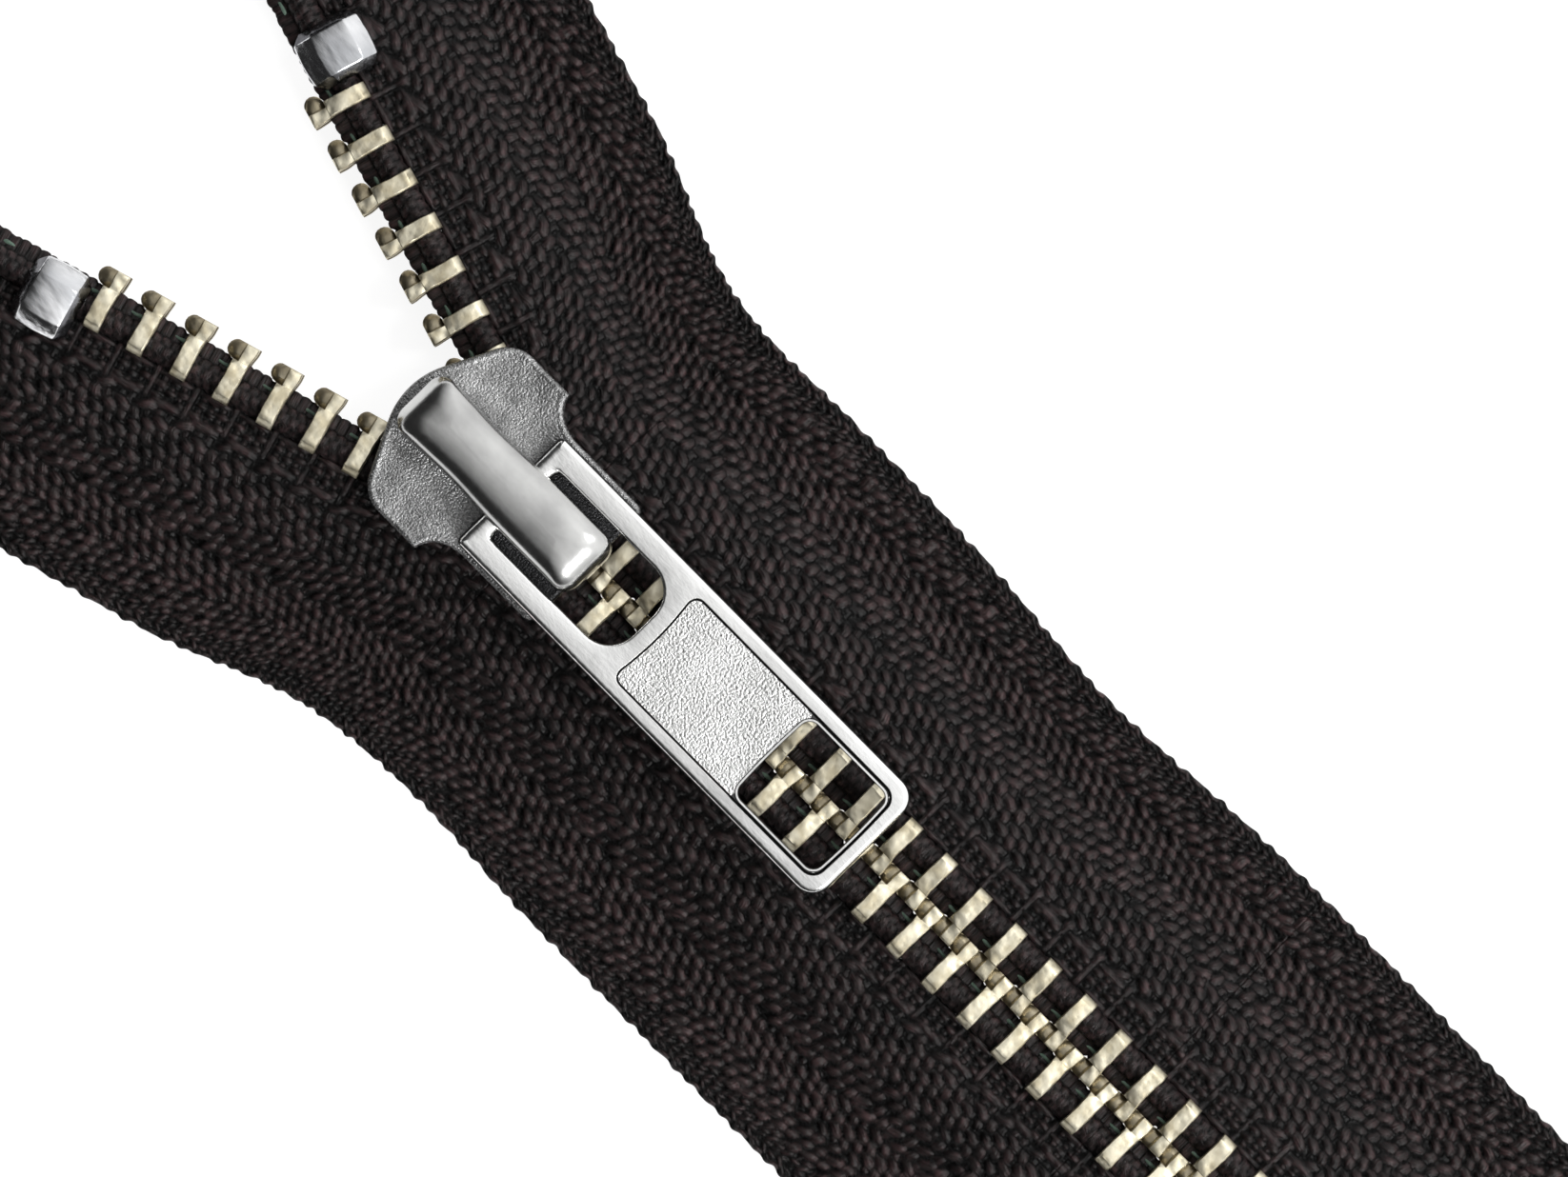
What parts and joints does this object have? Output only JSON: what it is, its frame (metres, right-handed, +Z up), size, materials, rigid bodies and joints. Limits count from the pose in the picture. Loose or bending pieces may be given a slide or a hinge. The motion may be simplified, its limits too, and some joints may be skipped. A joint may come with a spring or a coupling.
{
  "type": "zipper",
  "caption": "Closed-end metal zipper, part open: woven tapes with corded edges, crimped teeth, stops and an auto-lock slider with a swinging pull tab.",
  "frame": {"origin": "on the surface that the zipper lies on, under the middle of its outer box", "axes": "+Y along the chain towards the open end, +Z up out of the face with the pull tab, +X to the right seen from above"},
  "size_m": [0.0538, 0.1298, 0.0074],
  "materials": {
    "tape": "dark plum-brown polyester, herringbone woven",
    "cord": "dark woven cord",
    "thread": "pale green marker yarn",
    "tooth": "pale antique brass, tumbled",
    "stop": "crimped, bright",
    "slider": "die-cast, nickel plated, matt grained",
    "cover": "pressed sheet, satin nickel",
    "tab": "die-cast, bright nickel with a grained panel",
    "spring": "spring steel"
  },
  "bodies": {
    "root": {"bottom_stop": "stop"},
    "left_row": {"tape_left": "tape", "cord_left": "cord", "marker_thread_left": "thread", "teeth_left_closed": "tooth", "teeth_left_channel": "tooth"},
    "right_row": {"tape_right": "tape", "cord_right": "cord", "marker_thread_right": "thread", "teeth_right_closed": "tooth", "teeth_right_channel": "tooth"},
    "left_end": {"tooth_left_01": "tooth", "tooth_left_02": "tooth", "tooth_left_03": "tooth", "tooth_left_04": "tooth", "tooth_left_05": "tooth", "tooth_left_06": "tooth", "tooth_left_07": "tooth", "top_stop_left": "stop"},
    "right_end": {"tooth_right_01": "tooth", "tooth_right_02": "tooth", "tooth_right_03": "tooth", "tooth_right_04": "tooth", "tooth_right_05": "tooth", "tooth_right_06": "tooth", "top_stop_right": "stop"},
    "slider": {"slider_body": "slider", "slider_cover": "cover"},
    "lock": {"lock_spring": "spring"},
    "tab": {"pull_tab": "tab"}
  },
  "joints": [
    {"name": "slider_travel", "type": "slide", "parent": "root", "child": "slider", "axis": [0, 1, 0], "range_m": [-0.065, 0], "deforming": ["tape_left", "tape_right", "cord_left", "cord_right", "marker_thread_left", "marker_thread_right", "teeth_left_channel", "teeth_right_channel", "teeth_left_closed", "teeth_right_closed"]},
    {"name": "left_row_swing", "type": "hinge", "parent": "root", "child": "left_row", "pos_m": [0, -0.04272, 0], "axis": [0, 0, 1], "range_deg": [-0.5, 16.5]},
    {"name": "right_row_swing", "type": "hinge", "parent": "root", "child": "right_row", "pos_m": [0, -0.04272, 0], "axis": [0, 0, 1], "range_deg": [-16.5, 0.5]},
    {"name": "left_end_bend", "type": "hinge", "parent": "left_row", "child": "left_end", "pos_m": [0, 0.02228, 0], "axis": [0, 0, 1], "range_deg": [-16.5, 0.5]},
    {"name": "right_end_bend", "type": "hinge", "parent": "right_row", "child": "right_end", "pos_m": [0, 0.02228, 0], "axis": [0, 0, 1], "range_deg": [-0.5, 16.5]},
    {"name": "tab_swing", "type": "hinge", "parent": "slider", "child": "tab", "pos_m": [0, 0.02383, 0.00545], "axis": [-1, 0, 0], "range_deg": [0, 175]},
    {"name": "lock_lift", "type": "slide", "parent": "slider", "child": "lock", "axis": [0, 0, 1], "range_m": [0, 0.00041]}
  ],
  "couplings": [
    {"joint": "left_row_swing", "follows": "slider_travel", "rad_per_m": -4.2962},
    {"joint": "right_row_swing", "follows": "slider_travel", "rad_per_m": 4.2962},
    {"joint": "left_end_bend", "follows": "slider_travel", "rad_per_m": 4.2962},
    {"joint": "right_end_bend", "follows": "slider_travel", "rad_per_m": -4.2962},
    {"joint": "lock_lift", "follows": "tab_swing", "m_per_rad": 0.00013096}
  ]
}
